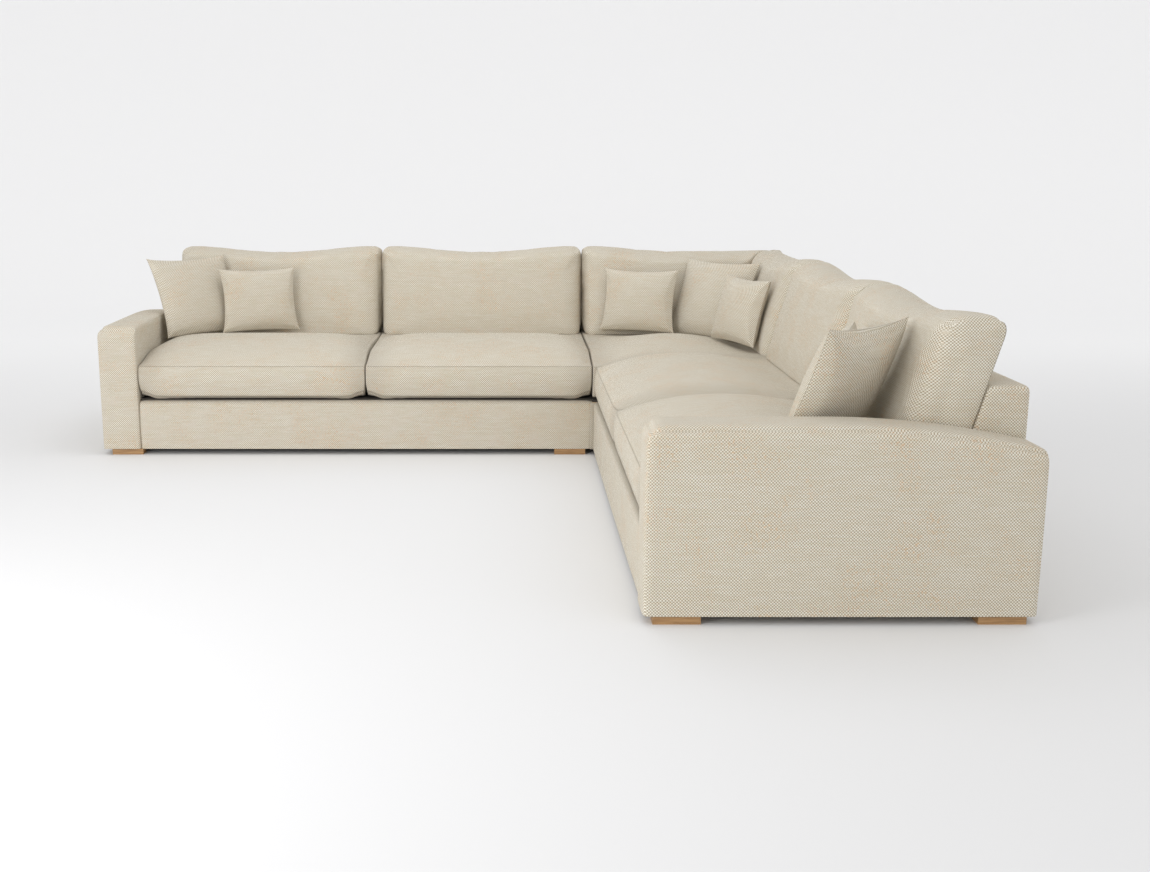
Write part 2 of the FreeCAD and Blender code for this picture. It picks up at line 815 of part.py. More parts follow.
def cushions():
    """The loose cushions of both wings and the corner."""
    inner = size("inner")
    pitch = size("seat_pitch")
    left_end = seat_cushion("left_seat_cushion_end", inner - 2 * pitch, pitch)
    left_mid = seat_cushion("left_seat_cushion_inner", inner - pitch, pitch)
    corner = corner_seat()
    backs = [
        keep(back_cushion(inner - 2 * pitch, inner - pitch), "left_back_cushion_end"),
        keep(back_cushion(inner - pitch, inner), "left_back_cushion_inner"),
    ]
    corner_left = corner_back()
    mirrored(corner_left, "corner_back_cushion_right")
    end = inner - 2 * pitch
    depth = size("large_depth")
    turn = size("large_turn")
    loose = [
        scatter("left_scatter_large", "large", left_end, end + size("end_large_along"), depth, turn),
        scatter("left_scatter_small", "small", left_end, end + size("end_small_along"),
                size("end_small_depth"), size("end_small_turn")),
    ]
    for piece in [left_end, left_mid, *backs, *loose]:
        mirrored(piece, piece.Label.replace("left", "right"))
    scatter("corner_scatter_large", "large", corner, inner + depth, depth, -turn)
    small = scatter("corner_scatter_small_left", "small", corner, inner + size("corner_small_along"),
                    size("corner_small_depth"), -size("corner_small_turn"))
    mirrored(small, "corner_scatter_small_right")


wing()
corner_unit()
connectors()
cushions()
doc.recompute()

failed = [part.Label for part in doc.Objects if {"Invalid", "Error"} & set(part.State)]
if failed:
    raise RuntimeError(f"failed objects: {failed}")
for part in subparts:
    if part.Shape.isNull() or not part.Shape.isValid() or not part.Shape.Solids:
        raise RuntimeError(f"{part.Label}: not a valid solid")
os.makedirs("parts", exist_ok=True)
for part in subparts:
    part.Shape.exportStep(f"parts/{part.Label}.step")
print(len(subparts), "sub-parts")
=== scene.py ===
import json
import math

import bpy
import numpy as np
from mathutils import Matrix, Vector
from mathutils.bvhtree import BVHTree


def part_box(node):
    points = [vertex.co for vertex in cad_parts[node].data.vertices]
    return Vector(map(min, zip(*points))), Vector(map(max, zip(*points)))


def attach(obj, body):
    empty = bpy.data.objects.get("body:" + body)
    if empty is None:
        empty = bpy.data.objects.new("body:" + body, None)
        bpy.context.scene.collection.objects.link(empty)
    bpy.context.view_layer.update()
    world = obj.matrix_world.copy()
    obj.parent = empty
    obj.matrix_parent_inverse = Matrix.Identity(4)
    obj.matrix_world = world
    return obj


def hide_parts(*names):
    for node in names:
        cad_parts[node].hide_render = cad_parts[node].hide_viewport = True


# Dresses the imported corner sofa: cloth over arms, backs and borders, loose cushions, oak blocks,
# a pale studio and the camera. Metres, +Z up. The left wing runs along X at the back, the right
# wing along Y at the +X side, and each piece of the right wing is made as the mirror image of a
# left one in the plane X = Y. "Depth" runs from a wing's front to its back.

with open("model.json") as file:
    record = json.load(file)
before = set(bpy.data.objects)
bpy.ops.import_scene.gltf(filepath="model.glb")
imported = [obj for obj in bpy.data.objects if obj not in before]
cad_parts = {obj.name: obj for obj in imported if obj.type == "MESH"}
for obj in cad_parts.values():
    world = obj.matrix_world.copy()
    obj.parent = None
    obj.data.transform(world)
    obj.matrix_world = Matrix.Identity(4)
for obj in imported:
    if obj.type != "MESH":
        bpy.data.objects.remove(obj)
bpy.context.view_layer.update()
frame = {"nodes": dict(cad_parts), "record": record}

# Sizes shared with the CAD part
LEAN = math.radians(16)
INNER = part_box("corner_seat_deck")[0].x
PITCH = 0.988
WING_END = INNER - 2 * PITCH
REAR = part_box("corner_back_cover_left")[1].y
FLOOR_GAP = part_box("left_arm_cover")[0].z
SEAT_SEAM = 0.391
SEAT_SIDE = 0.430
SEAT_CROWN_DEPTH = 0.380
SEAT_REST_DEPTH = 0.695
BACK_TOP_THICKNESS = 0.125
BACK_CUSHION_THICKNESS = 0.180
BACK_CUSHION_DIP = 0.025
ARM_LEVEL_LENGTH = 0.500
ARM_REAR_HEIGHT = 0.497

# Scatter cushions: width, length, thickness and lean of each kind, then each one's kind, place in
# plan and turn
LARGE = (0.430, 0.390, 0.130, math.radians(23))
SMALL = (0.370, 0.305, 0.115, math.radians(15))
SCATTERS = {
    "left_scatter_large": (LARGE, WING_END + 0.190, INNER + 0.552, math.radians(46)),
    "left_scatter_small": (SMALL, WING_END + 0.437, INNER + 0.610, math.radians(20)),
    "corner_scatter_large": (LARGE, INNER + 0.552, INNER + 0.552, math.radians(-46)),
    "corner_scatter_small_left": (SMALL, INNER + 0.250, INNER + 0.640, math.radians(-21)),
}

# Pressure, slack and largest move of a cover in the cloth simulation
SEAT_FILL = (2.0, 0.004, 0.004)
BACK_FILL = (2.0, 0.004, 0.006)
PILLOW_FILL = (3.0, 0.004, 0.006)

# How far the painted shade of the crease between two seat cushions reaches over their tops, and how
# much stronger than in that crease the painted shade is in the slot under the seat cushions
CREASE_REACH = 0.150
PAINTED_SLOT_SHADE = 1.4

# A length too small to divide by
TINY = 1e-9

# Distance between two nubs of the cloth along a thread, the colour of painted shade in creases and slots,
# and the colour of a seam
WEAVE = 0.0090
PAINTED_CREASE_SHADE = (0.36, 0.32, 0.26, 1)
SEAM_SHADE = (0.30, 0.24, 0.16, 1)


# Camera
def add_camera():
    """The photograph's view: 1150 x 872, focal length and centre found from the sofa's edges."""
    width, height = 1150.0, 872.0
    focal_px, centre_x, centre_y = 1309.0, 502.6, 425.9
    place = (0.1306, -5.0797, 1.2769)
    look_down = math.radians(11.57)
    data = bpy.data.cameras.new("camera")
    data.sensor_width = 36
    data.lens = focal_px / width * data.sensor_width
    data.shift_x = (width / 2 - centre_x) / width
    data.shift_y = (centre_y - height / 2) / width
    camera = bpy.data.objects.new("camera", data)
    camera.location = place
    camera.rotation_euler = (math.pi / 2 - look_down, 0, 0)
    bpy.context.scene.collection.objects.link(camera)
    bpy.context.scene.camera = camera


# Materials
class Graph:
    """A material's node tree, with short calls for the nodes used here."""

    def __init__(self, name):
        self.material = bpy.data.materials.new(name)
        self.material.use_nodes = True
        self.tree = self.material.node_tree
        self.shader = self.tree.nodes["Principled BSDF"]

    def node(self, kind, **settings):
        """Add a node and set its own options."""
        made = self.tree.nodes.new(kind)
        for key, value in settings.items():
            setattr(made, key, value)
        return made

    def put(self, value, socket):
        """Feed a socket with another node's output or with a plain value."""
        if isinstance(value, bpy.types.NodeSocket):
            self.tree.links.new(value, socket)
        else:
            socket.default_value = value

    def math(self, operation, *values):
        """Work out one number from others."""
        made = self.node("ShaderNodeMath", operation=operation)
        for value, socket in zip(values, made.inputs):
            self.put(value, socket)
        return made.outputs[0]

    def vector(self, operation, *values):
        """Work out one vector from others."""
        made = self.node("ShaderNodeVectorMath", operation=operation)
        for value, socket in zip(values, made.inputs):
            self.put(value, socket)
        return made.outputs[0]

    def split(self, vector):
        """A vector's three parts."""
        made = self.node("ShaderNodeSeparateXYZ")
        self.put(vector, made.inputs[0])
        return made.outputs

    def span(self, value, low, high, first=0.0, last=1.0):
        """Map a stretch of values to another, held at both ends."""
        made = self.node("ShaderNodeMapRange", interpolation_type="SMOOTHSTEP")
        for socket, entry in zip(made.inputs, (value, low, high, first, last)):
            self.put(entry, socket)
        return made.outputs[0]

    def blend(self, share, first, last, mode="MIX"):
        """A share of the last colour laid over the first."""
        made = self.node("ShaderNodeMix", data_type="RGBA", blend_type=mode)
        for entry, number in zip((share, first, last), (0, 6, 7)):
            self.put(entry, made.inputs[number])
        return made.outputs[2]

    def noise(self, vector, scale, detail, stretch=(1, 1, 1)):
        """Cloudy values, finer along an axis that is stretched more."""
        made = self.node("ShaderNodeTexNoise")
        self.put(self.vector("MULTIPLY", vector, stretch), made.inputs["Vector"])
        made.inputs["Scale"].default_value = scale
        made.inputs["Detail"].default_value = detail
        return made.outputs[0]

    def bump(self, height, distance, strength):
        """A relief for the shader's normal."""
        made = self.node("ShaderNodeBump")
        made.inputs["Strength"].default_value = strength
        made.inputs["Distance"].default_value = distance
        self.put(height, made.inputs["Height"])
        return made.outputs[0]


def weave_nubs(g, place):
    """Height of the staggered nubs over the gaps, and how far each side of a piece faces an axis."""
    waviness, wander_scale = 0.004, 22
    wander = g.node("ShaderNodeTexNoise")
    wander.inputs["Scale"].default_value = wander_scale
    g.put(place.outputs["Object"], wander.inputs["Vector"])
    drift = g.vector("SCALE", g.vector("SUBTRACT", wander.outputs[1], (0.5, 0.5, 0.5)))
    drift.node.inputs["Scale"].default_value = waviness
    point = g.vector("ADD", place.outputs["Object"], drift)
    waves = g.node("ShaderNodeVectorMath", operation="SINE")
    g.put(g.vector("MULTIPLY", point, (2 * math.pi / WEAVE,) * 3), waves.inputs[0])
    x, y, z = g.split(waves.outputs[0])

    facing = g.split(g.vector("ABSOLUTE", place.outputs["Normal"]))
    shares = [g.math("POWER", side, 6.0) for side in facing]
    total = g.math("ADD", g.math("ADD", shares[0], shares[1]), shares[2])
    weave = None
    for share, one, two in zip(shares, (y, x, x), (z, z, y)):
        part = g.math("MULTIPLY", share, g.math("MULTIPLY", one, two))
        weave = part if weave is None else g.math("ADD", weave, part)
    weave = g.math("DIVIDE", weave, total)
    return g.span(weave, -0.55, 0.45), shares


def slubs(g, source, upward):
    """Thicker stretches of thread: long along the weft, which lies level on upright sides."""
    level = g.noise(source, 1.0, 3.0, stretch=(14, 14, 210))
    flat = g.noise(source, 1.0, 3.0, stretch=(14, 210, 14))
    slub = g.node("ShaderNodeMix", data_type="FLOAT")
    for entry, number in zip((upward, level, flat), (0, 2, 3)):
        g.put(entry, slub.inputs[number])
    return g.span(slub.outputs[0], 0.30, 0.70)


def thread_colour(g, source, nub, slub):
    """Cream and pale threads over tan gaps, with rust flecks that gather in patches."""
    gap = (0.410, 0.345, 0.240, 1)
    cream = (0.800, 0.750, 0.635, 1)
    pale = (0.870, 0.842, 0.760, 1)
    copper = (0.680, 0.450, 0.260, 1)
    warm = (0.88, 0.70, 0.52, 1)
    fleck_everywhere, fleck_in_patches, warmth = 0.10, 0.55, 0.10
    fleck = g.span(g.noise(source, 150.0, 1.0), 0.52, 0.74)
    patch = g.span(g.noise(source, 7.0, 3.0), 0.42, 0.72)
    share = g.math("ADD", g.math("MULTIPLY", patch, fleck_in_patches), fleck_everywhere)
    colour = g.blend(nub, gap, g.blend(slub, cream, pale))
    colour = g.blend(g.math("MULTIPLY", share, fleck), colour, copper)
    return g.blend(g.math("MULTIPLY", patch, warmth), colour, warm, mode="MULTIPLY")


def cloth_material():
    """Coarse hopsack: cream nubs in staggered rows over tan gaps, slubs along the weft, rust flecks."""
    painted_shade_depth, seam_depth, seam_groove = 0.30, 0.42, 1.6
    relief_height, relief_strength = 0.0016, 0.85
    g = Graph("hopsack")
    place = g.node("ShaderNodeTexCoord")
    source = place.outputs["Object"]
    nub, facing = weave_nubs(g, place)
    colour = thread_colour(g, source, nub, slubs(g, source, facing[2]))

    # Painted shade: the cloth is darkened towards the crease colour where the shade attribute marks creases
    # between cushions and the slot under them
    painted_shade = g.node("ShaderNodeAttribute", attribute_name="painted_shade").outputs["Fac"]
    colour = g.blend(g.math("MULTIPLY", painted_shade, painted_shade_depth), colour, PAINTED_CREASE_SHADE)
    sewn = g.node("ShaderNodeAttribute", attribute_name="sewn").outputs["Fac"]
    line = g.span(sewn, 0.72, 0.97)
    colour = g.blend(g.math("MULTIPLY", line, seam_depth), colour, SEAM_SHADE)
    g.put(colour, g.shader.inputs["Base Color"])
    g.shader.inputs["Roughness"].default_value = 0.92
    g.shader.inputs["Sheen Weight"].default_value = 0.10
    g.shader.inputs["Sheen Roughness"].default_value = 0.5
    g.shader.inputs["Specular IOR Level"].default_value = 0.15
    relief = g.math("SUBTRACT", nub, g.math("MULTIPLY", line, seam_groove))
    g.put(g.bump(relief, relief_height, relief_strength), g.shader.inputs["Normal"])
    return g.material


def wood_material(name, light, dark):
    """Straight-grained wood, its grain along X."""
    pore_brown = (0.20, 0.10, 0.04, 1)
    g = Graph(name)
    source = g.node("ShaderNodeTexCoord").outputs["Object"]
    grain = g.noise(source, 9.0, 5.0, stretch=(1.2, 16, 16))
    pores = g.span(g.noise(source, 60.0, 2.0, stretch=(0.5, 9, 9)), 0.50, 0.68)
    colour = g.blend(g.span(grain, 0.35, 0.65), light, dark)
    colour = g.blend(g.math("MULTIPLY", pores, 0.35), colour, pore_brown)
    g.put(colour, g.shader.inputs["Base Color"])
    g.shader.inputs["Roughness"].default_value = 0.42
    relief = g.math("SUBTRACT", grain, g.math("MULTIPLY", pores, 0.4))
    g.put(g.bump(relief, 0.0006, 0.4), g.shader.inputs["Normal"])
    return g.material


def strap_material(name, thread, gap, pitch):
    """Plain woven strap, platform cloth or dust cloth."""
    g = Graph(name)
    source = g.node("ShaderNodeTexCoord").outputs["Object"]
    waves = g.node("ShaderNodeVectorMath", operation="SINE")
    g.put(g.vector("MULTIPLY", source, (math.pi / pitch,) * 3), waves.inputs[0])
    x, y, _ = g.split(waves.outputs[0])
    weave = g.math("ADD", g.math("MULTIPLY", g.math("MULTIPLY", x, y), 0.5), 0.5)
    g.put(g.blend(weave, gap, thread), g.shader.inputs["Base Color"])
    g.shader.inputs["Roughness"].default_value = 0.85
    g.put(g.bump(weave, 0.0005, 0.6), g.shader.inputs["Normal"])
    return g.material


def steel_material():
    """Dull zinc plating with a faint mottle."""
    dark, light = (0.42, 0.43, 0.45, 1), (0.60, 0.61, 0.62, 1)
    g = Graph("zinc_plate")
    source = g.node("ShaderNodeTexCoord").outputs["Object"]
    mottle = g.noise(source, 240.0, 3.0)
    g.put(g.blend(mottle, dark, light), g.shader.inputs["Base Color"])
    g.shader.inputs["Metallic"].default_value = 1.0
    g.shader.inputs["Roughness"].default_value = 0.38
    g.put(g.bump(mottle, 0.0002, 0.3), g.shader.inputs["Normal"])
    return g.material


def dress(obj, material):
    """Give an object one material."""
    obj.data.materials.clear()
    obj.data.materials.append(material)


# Mesh building
def smooth(share):
    """A share held between 0 and 1 and eased at both ends."""
    share = min(1.0, max(0.0, share))
    return share * share * (3 - 2 * share)


def stops(count, ease):
    """Places from -1 to 1, closer together towards both ends as ease grows to 1."""
    even = np.linspace(-1, 1, count + 1)
    return (1 - ease) * even + ease * np.sin(even * math.pi / 2)


def lattice(name, spans, shape, sewn, painted_shade=None):
    """A closed quad mesh over the six sides of a grid.

    shape(u, v, w) places a point, each of the three running from -1 to 1. sewn(i, j, k) tells, from
    the sides that a point lies on, as -1, 0 or 1 along each direction, whether a seam runs there.
    The optional shade function of u, v and w tells how strongly painted shade darkens a point, in the
    crease or in the slot beside the next piece.
    """
    counts = [len(span) - 1 for span in spans]
    numbers = {}
    points = []
    seam = []
    painted_shade_values = []

    def vertex(index):
        if index not in numbers:
            numbers[index] = len(points)
            place = [float(span[i]) for span, i in zip(spans, index)]
            points.append(shape(*place))
            painted_shade_values.append(painted_shade(*place) if painted_shade else 0.0)
            sides = [-1 if i == 0 else 1 if i == count else 0 for i, count in zip(index, counts)]
            seam.append(1.0 if sewn(*sides) else 0.0)
        return numbers[index]

    faces = []
    for axis in range(3):
        one, two = (axis + 1) % 3, (axis + 2) % 3
        for end in (0, counts[axis]):
            for i in range(counts[one]):
                for j in range(counts[two]):
                    corners = []
                    for di, dj in ((0, 0), (1, 0), (1, 1), (0, 1)):
                        index = [0, 0, 0]
                        index[axis], index[one], index[two] = end, i + di, j + dj
                        corners.append(vertex(tuple(index)))
                    faces.append(corners if end else corners[::-1])
    obj = mesh_object(name, points, faces, seam)
    obj.data.attributes.new("painted_shade", "FLOAT", "POINT").data.foreach_set("value", painted_shade_values)
    pins = obj.vertex_groups.new(name="pins")
    pins.add([number for number, value in enumerate(seam) if value > 0.5], 1.0, "REPLACE")
    return obj


def mesh_object(name, points, faces, seam=None):
    """An object from points and faces, smooth, with its seams kept as an attribute and as creases."""
    crease_share = 0.75
    mesh = bpy.data.meshes.new(name)
    mesh.from_pydata([tuple(point) for point in points], [], faces)
    mesh.polygons.foreach_set("use_smooth", [True] * len(mesh.polygons))
    obj = bpy.data.objects.new(name, mesh)
    bpy.context.scene.collection.objects.link(obj)
    if seam is not None:
        mesh.attributes.new("sewn", "FLOAT", "POINT").data.foreach_set("value", seam)
        crease = mesh.attributes.new("crease_edge", "FLOAT", "EDGE")
        ends = np.empty(len(mesh.edges) * 2, dtype=np.int32)
        mesh.edges.foreach_get("vertices", ends)
        marks = np.array(seam)[ends.reshape(-1, 2)].min(axis=1) * crease_share
        crease.data.foreach_set("value", marks)
    mesh.update()
    return obj


def mirror(obj, name):
    """A copy on the other side of the plane X = Y, with its faces turned to stay outside out."""
    twin = obj.copy()
    twin.data = obj.data.copy()
    twin.name = name
    swap = Matrix(((0, 1, 0, 0), (1, 0, 0, 0), (0, 0, 1, 0), (0, 0, 0, 1)))
    twin.matrix_world = Matrix.Identity(4)
    twin.data.transform(swap @ obj.matrix_world)
    twin.data.flip_normals()
    bpy.context.scene.collection.objects.link(twin)
    return twin


def finer(obj):
    """Replace an object's mesh by one that is smoothly divided once."""
    modifier = obj.modifiers.new("finer", "SUBSURF")
    modifier.levels = modifier.render_levels = 1
    modifier.use_limit_surface = False
    graph = bpy.context.evaluated_depsgraph_get()
    baked = bpy.data.meshes.new_from_object(obj.evaluated_get(graph), depsgraph=graph)
    obj.modifiers.clear()
    obj.data = baked


def coordinates(mesh):
    """A mesh's points as rows of an array."""
    values = np.empty(len(mesh.vertices) * 3, dtype=np.float32)
    mesh.vertices.foreach_get("co", values)
    return values.reshape(-1, 3)


def set_coordinates(obj, points):
    """Move an object's points to the rows of an array."""
    obj.data.vertices.foreach_set("co", points.astype(np.float32).ravel())
    obj.data.update()


# Cloth simulation
def simulate(jobs, frames=20):
    """Blow up sewn covers together. Each job is an object, its pressure, slack and largest move."""
    scene = bpy.context.scene
    scene.frame_start = 1
    scene.frame_end = frames
    starts = {}
    for obj, pressure, slack, _ in jobs:
        starts[obj.name] = coordinates(obj.data)
        modifier = obj.modifiers.new("cover", "CLOTH")
        cover = modifier.settings
        cover.quality = 6
        cover.mass = 0.35
        cover.tension_stiffness = cover.compression_stiffness = 18
        cover.shear_stiffness = 8
        cover.bending_stiffness = 1.2
        cover.use_pressure = True
        cover.uniform_pressure_force = pressure
        cover.shrink_min = -slack
        cover.effector_weights.gravity = 0
        if "pins" in obj.vertex_groups:
            cover.vertex_group_mass = "pins"
        modifier.collision_settings.use_collision = False
        modifier.point_cache.frame_start = 1
        modifier.point_cache.frame_end = frames
    for number in range(1, frames + 1):
        scene.frame_set(number)
    graph = bpy.context.evaluated_depsgraph_get()
    for obj, _, _, most in jobs:
        moved = coordinates(obj.evaluated_get(graph).data)
        start = starts[obj.name]
        step = moved - start
        length = np.linalg.norm(step, axis=1, keepdims=True)
        obj.modifiers.clear()
        set_coordinates(obj, start + step * np.minimum(1, most / np.maximum(length, TINY)))
    scene.frame_set(1)


def keep_inside(obj, low, high):
    """Hold a piece's points inside a box, so that it stays clear of what it touches."""
    set_coordinates(obj, np.clip(coordinates(obj.data), np.array(low), np.array(high)))


# Loose cushions
def seat_sewn(i, j, k):
    """Seams round the top and the bottom panel; the border runs round the corners."""
    return k != 0 and (i != 0 or j != 0)


def side_height(depth):
    """Height of a seat cushion's top seam along its sides, at a depth behind its front."""
    rise_depth = 0.26
    return SEAT_SEAM + (SEAT_SIDE - SEAT_SEAM) * smooth(depth / rise_depth)


def rear_fall(depth):
    """Share of the crown that is left at a depth behind the crown's highest line."""
    share = min(1.0, (depth - SEAT_CROWN_DEPTH) / (SEAT_REST_DEPTH - SEAT_CROWN_DEPTH))
    return (1 - share ** 2) ** 1.3


def seat_cushion(name):
    """A seat cushion: high crown, pointed top corners at the front, lower edge rolled under."""
    low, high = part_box(name)
    half = (high.x - low.x) / 2
    middle = (high.x + low.x) / 2
    depth = high.y - low.y
    crown = high.z - 0.006
    side_reach, front_reach, corner_reach = 0.080, 0.026, 0.10
    front_lift, corner_lift, side_lift = 0.014, 0.018, 0.004
    front_bulge, bulge_reach = 0.010, 0.05
    waist, lower_waist, undercut = 0.004, 0.006, 0.004
    corner_draw, draw_reach = 0.010, 0.12

    def centre(y):
        """Height of the top along the middle of the cushion, at a depth behind its front."""
        if y < SEAT_CROWN_DEPTH:
            share = 1 - y / SEAT_CROWN_DEPTH
            return SEAT_SEAM + (crown - SEAT_SEAM) * (1 - share ** 2) ** 0.9
        return SEAT_SIDE + (crown - SEAT_SIDE) * rear_fall(y)

    def shape(u, v, w):
        t = (v + 1) / 2
        y = t * depth
        rise = (w + 1) / 2
        roll = 1 - rise
        near_side = 1 - smooth((1 - abs(u)) * half / side_reach)
        near_front = 1 - smooth(y / front_reach)
        near_corner = near_side * (1 - smooth(y / corner_reach))
        bottom = low.z + front_lift * near_front + corner_lift * near_corner + side_lift * near_side
        top = side_height(y) + (centre(y) - side_height(y)) * (1 - abs(u) ** 5) ** 0.8
        pull = lower_waist * roll ** 4 * abs(u) ** 8 + waist * math.sin(math.pi * t) * abs(u) ** 3
        bulge = front_bulge * (1 - (2 * rise - 1) ** 2)
        push = (front_bulge - bulge + undercut * roll ** 2) * (1 - smooth(y / bulge_reach))
        draw = corner_draw * abs(u) ** 14 * (1 - smooth(y / draw_reach))
        x = middle + u * (half - pull)
        return Vector((x, low.y + y + push + draw, bottom + (top - bottom) * rise))

    # Painted shade: darker near both sides, where the crease to the next cushion lies, and stronger on the
    # bottom, in the slot under the cushion
    def painted_shade(u, v, w):
        beside = smooth(1 - (1 - abs(u)) * half / CREASE_REACH)
        beneath = smooth(-5 - 6 * w)
        return max(beside, PAINTED_SLOT_SHADE * beneath)

    spans = (stops(60, 0.5), stops(50, 0.6), stops(10, 0.2))
    return lattice(name + "_cover", spans, shape, seat_sewn, painted_shade)


def corner_seat():
    """The corner's seat cushion: crowned in the middle, level along its neighbours and both backs."""
    name = "corner_seat_cushion"
    low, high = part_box(name)
    side = high.x - low.x
    crown = high.z - 0.008
    edge_lift, edge_reach = 0.014, 0.045

    def profile(depth):
        """Share of the crown at a depth behind either front."""
        if depth < SEAT_CROWN_DEPTH:
            return smooth(depth / SEAT_CROWN_DEPTH)
        return rear_fall(depth)

    def shape(u, v, w):
        x, y = (u + 1) / 2 * side, (v + 1) / 2 * side
        rise = (w + 1) / 2
        bottom = low.z + edge_lift * (1 - smooth(min(x, y, side - x, side - y) / edge_reach))
        top = side_height(max(x, y)) + (crown - SEAT_SIDE) * profile(x) * profile(y)
        return Vector((low.x + x, low.y + y, bottom + (top - bottom) * rise))

    # Painted shade: darker along the two sides that meet the neighbouring seat cushions
    def painted_shade(u, v, w):
        return smooth(1 - (1 + min(u, v)) / 2 * side / CREASE_REACH)

    spans = (stops(60, 0.4), stops(60, 0.4), stops(10, 0.2))
    return lattice(name + "_cover", spans, shape, seat_sewn, painted_shade)


def back_sewn(i, j, k):
    """One seam round the rear panel; the front runs over the top and the ends in one piece."""
    return j > 0 and (i != 0 or k != 0)


def turned_in(a, b, a_end, b_end, radius):
    """Pull a point near a rectangle's corner onto the corner's arc; the corner is at a_end, b_end."""
    centre_a, centre_b = a_end - math.copysign(radius, a_end), b_end - radius
    from_a, from_b = a - centre_a, b - centre_b
    if from_a * math.copysign(1, a_end) > 0 and from_b > 0:
        reach = max(abs(from_a), abs(from_b))
        length = math.hypot(from_a, from_b)
        if length > TINY:
            return centre_a + from_a / length * reach, centre_b + from_b / length * reach
    return a, b


def back_cushion(name, mitred=False):
    """A back cushion: leans on the back, swells forward, with a soft round top and raised ears."""
    low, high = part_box(name)
    first, last = low.x, high.x
    x_half = (last - first) / 2
    height = (high.z - low.z) / math.cos(LEAN)
    top_behind = 0.055
    heel = high.y - (height - top_behind) * math.sin(LEAN)
    thickness = BACK_CUSHION_THICKNESS - 0.004
    swell = 0.020
    top_radius, ear_radius, end_radius = 0.062, 0.034, 0.060
    foot_height, foot_draw = 0.03, 0.012
    mitre_gap = 0.009

    def shape(u, v, w):
        h = (1 - v) / 2 * thickness
        l = (w + 1) / 2 * height
        end = 0.5 * u ** 6 if mitred and u >= 0 else abs(u)
        middle = h - thickness / 2
        middle, l = turned_in(middle, l, math.copysign(thickness / 2, middle), height, top_radius)
        h = middle + thickness / 2
        l -= BACK_CUSHION_DIP * (1 - smooth(end / 0.9) ** 1.2) * smooth(l / height)
        puff = swell * (1 - end ** 3) * math.sin(math.pi * min(1.0, l / height * 0.92 + 0.05)) ** 0.7
        h += puff * (h / thickness)
        side, l = turned_in(u * x_half, l, math.copysign(x_half, u), height, ear_radius)
        if not mitred or u < 0:
            side, h = turned_in(side, h, math.copysign(x_half, u), thickness, end_radius)
        if l < foot_height:
            side *= 1 - foot_draw * (1 - l / foot_height) ** 2
        y = heel + l * math.sin(LEAN) - h
        x = (first + last) / 2 + side
        if mitred:
            x = first + (y - mitre_gap - first) * (x - first) / (last - first)
        return Vector((x, y, low.z + l * math.cos(LEAN)))

    spans = (stops(60, 0.35), stops(14, 0.5), stops(30, 0.4))
    return lattice(name + "_cover", spans, shape, back_sewn)


def pillow(name, width, length, thickness, seed):
    """A feather cushion's cover: two crowned panels sewn edge to edge, sides drawn in, corners pointed."""
    count = 30
    draw = 0.085
    lower_draw_share = 0.5
    unevenness = 0.05
    rng = np.random.default_rng(seed)
    tilt = rng.uniform(0, 6, 2)
    points, seam, faces, numbers = [], [], [], {}
    for face in (-1, 1):
        for i in range(count + 1):
            for j in range(count + 1):
                rim = i in (0, count) or j in (0, count)
                if rim and face == 1:
                    numbers[face, i, j] = numbers[-1, i, j]
                    continue
                u, v = (math.sin(math.pi / 2 * (2 * n / count - 1)) for n in (i, j))
                crown = ((1 - abs(u) ** 2.4) * (1 - abs(v) ** 2.4)) ** 0.62
                ripple = 1 + unevenness * math.sin(3 * u + tilt[0]) * math.sin(2.5 * v + tilt[1])
                wide = width / 2 * (1 - draw * (1 - v * v))
                tall = length / 2 * (1 - draw * (1 - u * u) * (1.0 if v > 0 else lower_draw_share))
                numbers[face, i, j] = len(points)
                points.append((u * wide, face * thickness / 2 * crown * ripple, v * tall))
                seam.append(1.0 if rim else 0.0)
    for face in (-1, 1):
        for i in range(count):
            for j in range(count):
                quad = [numbers[face, i + di, j + dj] for di, dj in ((0, 0), (1, 0), (1, 1), (0, 1))]
                faces.append(quad if face == -1 else quad[::-1])
    return mesh_object(name + "_cover", points, faces, seam)


def shape_pillow(obj, width, length, thickness):
    """Bring a blown-up cover to its size, its lower corners at the origin's level."""
    points = coordinates(obj.data)
    low, high = points.min(axis=0), points.max(axis=0)
    wanted = np.array((width, thickness, length))
    points = (points - (low + high) / 2) * (wanted / (high - low))
    points[:, 2] += length / 2
    set_coordinates(obj, points)


def stand(obj, name, x, y, turn, lean):
    """Turn a scatter cushion in plan, lean it back and set it where its CAD node stands."""
    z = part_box(name)[0].z + 0.002
    obj.matrix_world = (Matrix.Translation((x, y, z)) @ Matrix.Rotation(turn, 4, "Z")
                        @ Matrix.Rotation(-lean, 4, "X"))


def settle(obj, support):
    """Raise or lower a piece until it meets the piece below it."""
    clearance = 0.0008
    above = 2
    tree = BVHTree.FromPolygons([support.matrix_world @ v.co for v in support.data.vertices],
                                [tuple(p.vertices) for p in support.data.polygons])
    gap = 1.0
    for vertex in obj.data.vertices:
        place = obj.matrix_world @ vertex.co
        hit = tree.ray_cast(Vector((place.x, place.y, above)), Vector((0, 0, -1)))[0]
        if hit is not None:
            gap = min(gap, place.z - hit.z)
    obj.matrix_world = Matrix.Translation((0, 0, clearance - gap)) @ obj.matrix_world


# Fixed upholstery
def no_seam(i, j, k):
    """Fixed covers have their seams out of sight."""
    return False


def hump(share):
    """1 in the middle of a side, falling to 0 at its ends; 1 on the ends themselves."""
    return 1 - share * share if abs(share) < 1 else 1


def rounded(out, up):
    """Pull a point that lies out past a corner's centre, both ways, onto the corner's arc."""
    reach = math.hypot(out, up)
    most = max(out, up)
    return out / reach * most, up / reach * most


